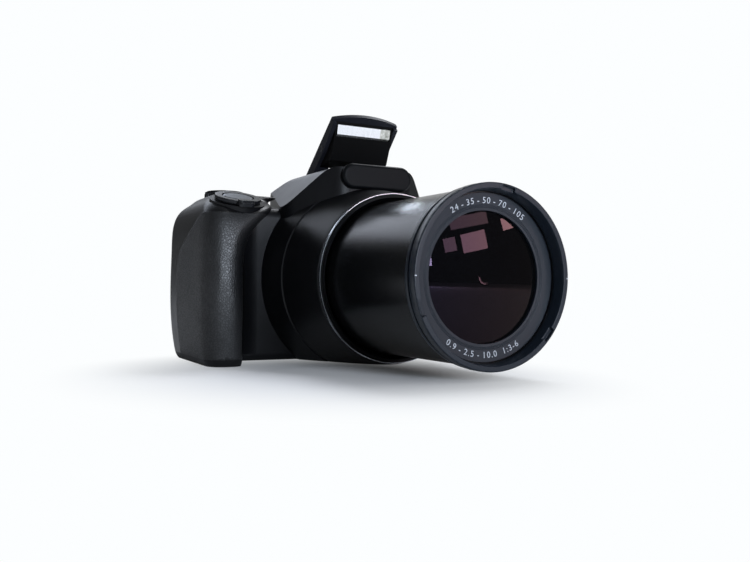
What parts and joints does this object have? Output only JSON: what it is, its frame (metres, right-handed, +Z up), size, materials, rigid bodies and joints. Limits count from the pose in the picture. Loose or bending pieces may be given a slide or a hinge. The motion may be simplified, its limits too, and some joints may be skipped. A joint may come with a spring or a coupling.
{
  "type": "bridge camera",
  "caption": "Bridge camera with a run-out zoom lens, raised forked flash, rubber hand grip, mode dial, rear screen, battery door and tripod socket.",
  "frame": {"origin": "on the base under the lens axis, level with the tripod socket's mouth, which lies 24 mm to +X; the camera stands on this plane", "axes": "+Z up, -Y towards the subject along the lens axis, grip on the -X side"},
  "size_m": [0.1223, 0.138, 0.1002],
  "materials": {
    "shell_plastic": "smooth satin black",
    "base_plastic": "fine matt",
    "grip_skin": "leather grain",
    "bar_plastic": "satin",
    "bright_ring": "polished",
    "barrel_black": "satin",
    "inner_black": "dull black",
    "lens_glass": "coated",
    "screen_glass": "polished",
    "screen_panel": "polished",
    "key_plastic": "satin",
    "release_metal": "satin",
    "dial_metal": "satin",
    "steel": "plain",
    "board": "lacquered",
    "sensor": "polished",
    "capacitor_sleeve": "shrunk sleeve",
    "lamp_box": "fine matt",
    "lamp_window": "ribbed",
    "lamp_mirror": "bright",
    "cell_case": "smooth",
    "card_case": "smooth"
  },
  "bodies": {
    "camera_body": {"front_cover": "shell_plastic", "rear_cover": "shell_plastic", "top_cover": "shell_plastic", "bottom_cover": "base_plastic", "grip_rubber": "grip_skin", "name_bar": "bar_plastic", "chrome_ring": "bright_ring", "lens_bezel": "barrel_black", "lens_tube": "inner_black", "guide_rods": "steel", "sensor_plate": "steel", "image_sensor": "sensor", "frame_plate": "steel", "main_board": "board", "key_board": "board", "top_board": "board", "zoom_motor": "steel", "flash_capacitor": "capacitor_sleeve", "screen_glass": "screen_glass", "screen_panel": "screen_panel", "thumb_rest": "grip_skin", "plug_sockets": "inner_black", "strap_eye_far": "steel", "strap_eye_grip": "steel", "tripod_socket": "steel", "battery_box": "inner_black", "memory_card": "card_case", "door_pin": "steel", "flash_pin": "steel", "flash_spring": "steel"},
    "zoom_barrel": {"outer_barrel": "barrel_black", "front_ring": "barrel_black", "name_ring": "inner_black", "front_cell": "inner_black", "front_glass": "lens_glass"},
    "zoom_group": {"zoom_carriage": "inner_black", "zoom_glass": "lens_glass"},
    "focus_unit": {"focus_group": "inner_black", "focus_glass": "lens_glass"},
    "flash_head": {"flash_cover": "shell_plastic", "flash_box": "lamp_box", "flash_window": "lamp_window", "flash_reflector": "lamp_mirror", "flash_tube": "lamp_window"},
    "lever": {"zoom_lever": "shell_plastic"},
    "release": {"shutter_button": "release_metal"},
    "dial": {"mode_dial": "dial_metal"},
    "power_key": {"power_button": "key_plastic"},
    "playback_key": {"playback_button": "key_plastic"},
    "wireless_key": {"wireless_button": "key_plastic"},
    "display_key": {"display_button": "key_plastic"},
    "menu_key": {"menu_button": "key_plastic"},
    "movie_key": {"movie_button": "key_plastic"},
    "pad": {"four_way_pad": "key_plastic"},
    "set_key": {"set_button": "key_plastic"},
    "frame_seek_key": {"frame_seek_button": "key_plastic"},
    "frame_lock_key": {"frame_lock_button": "key_plastic"},
    "base_door": {"battery_door": "base_plastic"},
    "cell": {"battery": "cell_case"},
    "socket_door": {"side_door": "shell_plastic"}
  },
  "joints": [
    {"name": "zoom_slide", "type": "slide", "parent": "camera_body", "child": "zoom_barrel", "axis": [0, 1, 0], "range_m": [0, 0.046]},
    {"name": "group_slide", "type": "slide", "parent": "camera_body", "child": "zoom_group", "axis": [0, 1, 0], "range_m": [0, 0.0345]},
    {"name": "focus_slide", "type": "slide", "parent": "camera_body", "child": "focus_unit", "axis": [0, 1, 0], "range_m": [-0.003, 0.003]},
    {"name": "flash_hinge", "type": "hinge", "parent": "camera_body", "child": "flash_head", "pos_m": [0, -0.002, 0.0735], "axis": [1, 0, 0], "range_deg": [0, 32]},
    {"name": "lever_turn", "type": "hinge", "parent": "camera_body", "child": "lever", "pos_m": [-0.0555, -0.03, 0.0616], "axis": [0, -0.309, 0.9511], "range_deg": [-14, 14], "stiffness_Nm_per_rad": 0.02},
    {"name": "release_press", "type": "slide", "parent": "camera_body", "child": "release", "axis": [0, -0.309, 0.9511], "range_m": [-0.001, 0], "stiffness_N_per_m": 600},
    {"name": "dial_turn", "type": "hinge", "parent": "camera_body", "child": "dial", "pos_m": [-0.0505, 0, 0.0647], "axis": [0, 0, 1], "continuous": true},
    {"name": "power_press", "type": "slide", "parent": "camera_body", "child": "power_key", "axis": [0, 0, 1], "range_m": [-0.0006, 0], "stiffness_N_per_m": 500},
    {"name": "playback_press", "type": "slide", "parent": "camera_body", "child": "playback_key", "axis": [0, 1, 0], "range_m": [-0.0006, 0], "stiffness_N_per_m": 500},
    {"name": "wireless_press", "type": "slide", "parent": "camera_body", "child": "wireless_key", "axis": [0, 1, 0], "range_m": [-0.0006, 0], "stiffness_N_per_m": 500},
    {"name": "display_press", "type": "slide", "parent": "camera_body", "child": "display_key", "axis": [0, 1, 0], "range_m": [-0.0006, 0], "stiffness_N_per_m": 500},
    {"name": "menu_press", "type": "slide", "parent": "camera_body", "child": "menu_key", "axis": [0, 1, 0], "range_m": [-0.0006, 0], "stiffness_N_per_m": 500},
    {"name": "movie_press", "type": "slide", "parent": "camera_body", "child": "movie_key", "axis": [0, 1, 0], "range_m": [-0.0006, 0], "stiffness_N_per_m": 500},
    {"name": "pad_press", "type": "slide", "parent": "camera_body", "child": "pad", "axis": [0, 1, 0], "range_m": [-0.0006, 0], "stiffness_N_per_m": 500},
    {"name": "set_press", "type": "slide", "parent": "camera_body", "child": "set_key", "axis": [0, 1, 0], "range_m": [-0.0006, 0], "stiffness_N_per_m": 500},
    {"name": "frame_seek_press", "type": "slide", "parent": "camera_body", "child": "frame_seek_key", "axis": [1, 0, 0], "range_m": [-0.0006, 0], "stiffness_N_per_m": 500},
    {"name": "frame_lock_press", "type": "slide", "parent": "camera_body", "child": "frame_lock_key", "axis": [1, 0, 0], "range_m": [-0.0006, 0], "stiffness_N_per_m": 500},
    {"name": "door_hinge", "type": "hinge", "parent": "camera_body", "child": "base_door", "pos_m": [-0.05, 0, 0.0009], "axis": [0, 1, 0], "range_deg": [-90, 0]},
    {"name": "cell_slide", "type": "slide", "parent": "camera_body", "child": "cell", "axis": [0, 0, 1], "range_m": [-0.005, 0]},
    {"name": "socket_door_hinge", "type": "hinge", "parent": "camera_body", "child": "socket_door", "pos_m": [0.04743, -0.00743, 0.032], "axis": [0, 0, 1], "range_deg": [-100, 0]}
  ],
  "couplings": [
    {"joint": "group_slide", "follows": "zoom_slide", "ratio": 0.75},
    {"joint": "door_hinge", "follows": "cell_slide", "rad_per_m": 314}
  ]
}
